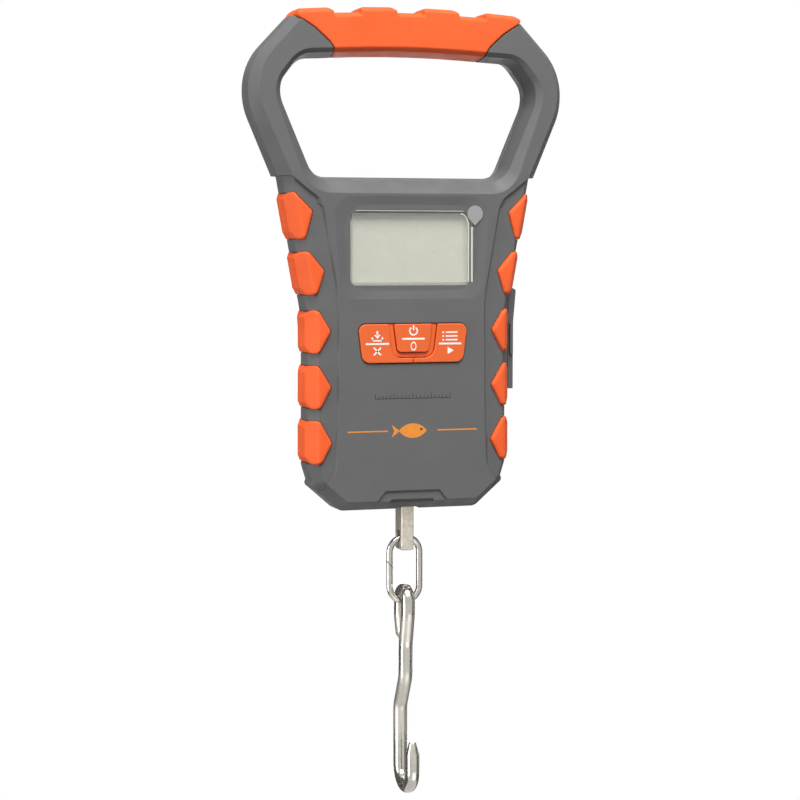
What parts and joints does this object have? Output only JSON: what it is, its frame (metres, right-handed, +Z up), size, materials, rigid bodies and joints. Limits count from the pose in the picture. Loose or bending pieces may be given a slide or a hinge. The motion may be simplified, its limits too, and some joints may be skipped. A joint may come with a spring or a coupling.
{
  "type": "digital fish scale",
  "caption": "Hand-held hanging scale with a looped rubber grip handle, display window, push keys, side battery door and a hook swinging on a chain link.",
  "frame": {"origin": "middle of the grip bar, where the hand carries the scale", "axes": "+Z up along the load line from hook to grip, +Y from the display face to the back, +X to the reader's right"},
  "size_m": [0.1246, 0.0256, 0.3023],
  "materials": {
    "housing_grey": "fine matte spark-eroded texture, mid grey",
    "rubber_orange": "satin overmoulded rubber, orange",
    "key_orange": "silicone keys, orange with white printed signs",
    "seal_black": "soft black rubber",
    "clear_lens": "clear acrylic window",
    "clear_film": "thin protective film",
    "lcd_grey": "unlit reflective LCD, grey-green",
    "inner_plastic": "black moulded plastic",
    "board_green": "solder-resist green",
    "cell_wrap": "plain shrink-wrapped dry cell",
    "screw_steel": "zinc plated steel",
    "cell_aluminium": "machined aluminium",
    "nickel": "bright nickel-plated steel"
  },
  "bodies": {
    "housing": {"front_cover": "housing_grey", "rear_cover": "housing_grey", "grip_front": "rubber_orange", "grip_rear": "rubber_orange", "pads_front_left": "rubber_orange", "pads_front_right": "rubber_orange", "pads_rear_left": "rubber_orange", "pads_rear_right": "rubber_orange", "perimeter_seal": "seal_black", "housing_screws": "screw_steel", "display_lens": "clear_lens", "display_film": "clear_film", "lcd_holder": "inner_plastic", "lcd_glass": "lcd_grey", "zebra_strip": "seal_black", "keypad_web": "key_orange", "key_switches": "screw_steel", "main_board": "board_green", "board_screws": "screw_steel", "board_chips": "inner_plastic", "buzzer": "inner_plastic", "battery_box": "inner_plastic", "batteries": "cell_wrap", "battery_springs": "screw_steel", "inner_contacts": "screw_steel", "door_hinge_pin": "screw_steel", "door_seal": "seal_black", "load_cell": "cell_aluminium", "strain_gauges": "seal_black", "cell_bracket": "screw_steel", "bracket_screws": "screw_steel"},
    "battery_door": {"battery_door": "housing_grey", "door_contacts": "screw_steel"},
    "save_key": {"save_key": "key_orange", "save_plunger": "inner_plastic"},
    "power_key": {"power_key": "key_orange", "power_plunger": "inner_plastic"},
    "select_key": {"select_key": "key_orange", "select_plunger": "inner_plastic"},
    "load_bar": {"load_arm": "screw_steel", "arm_screws": "screw_steel", "bar_pin": "screw_steel", "load_bar": "nickel"},
    "link": {"link": "nickel"},
    "hook": {"hook": "nickel"}
  },
  "joints": [
    {"name": "battery_door_swing", "type": "hinge", "parent": "housing", "child": "battery_door", "pos_m": [0.0439, 0.0076, -0.1157], "axis": [0, 0, 1], "range_deg": [0, 100]},
    {"name": "save_press", "type": "slide", "parent": "housing", "child": "save_key", "axis": [0, 1, 0], "range_m": [0, 0.0005], "stiffness_N_per_m": 800, "springref_m": -0.0008},
    {"name": "power_press", "type": "slide", "parent": "housing", "child": "power_key", "axis": [0, 1, 0], "range_m": [0, 0.0005], "stiffness_N_per_m": 800, "springref_m": -0.0008},
    {"name": "select_press", "type": "slide", "parent": "housing", "child": "select_key", "axis": [0, 1, 0], "range_m": [0, 0.0005], "stiffness_N_per_m": 800, "springref_m": -0.0008},
    {"name": "load_cell_travel", "type": "slide", "parent": "housing", "child": "load_bar", "axis": [0, 0, 1], "range_m": [-0.0005, 0], "stiffness_N_per_m": 5000},
    {"name": "link_swing", "type": "hinge", "parent": "load_bar", "child": "link", "pos_m": [0, -0.0012, -0.19215], "axis": [1, 0, 0], "range_deg": [-75, 75]},
    {"name": "hook_swing", "type": "hinge", "parent": "link", "child": "hook", "pos_m": [0, -0.0012, -0.21285], "axis": [0, 1, 0], "range_deg": [-75, 75]}
  ]
}
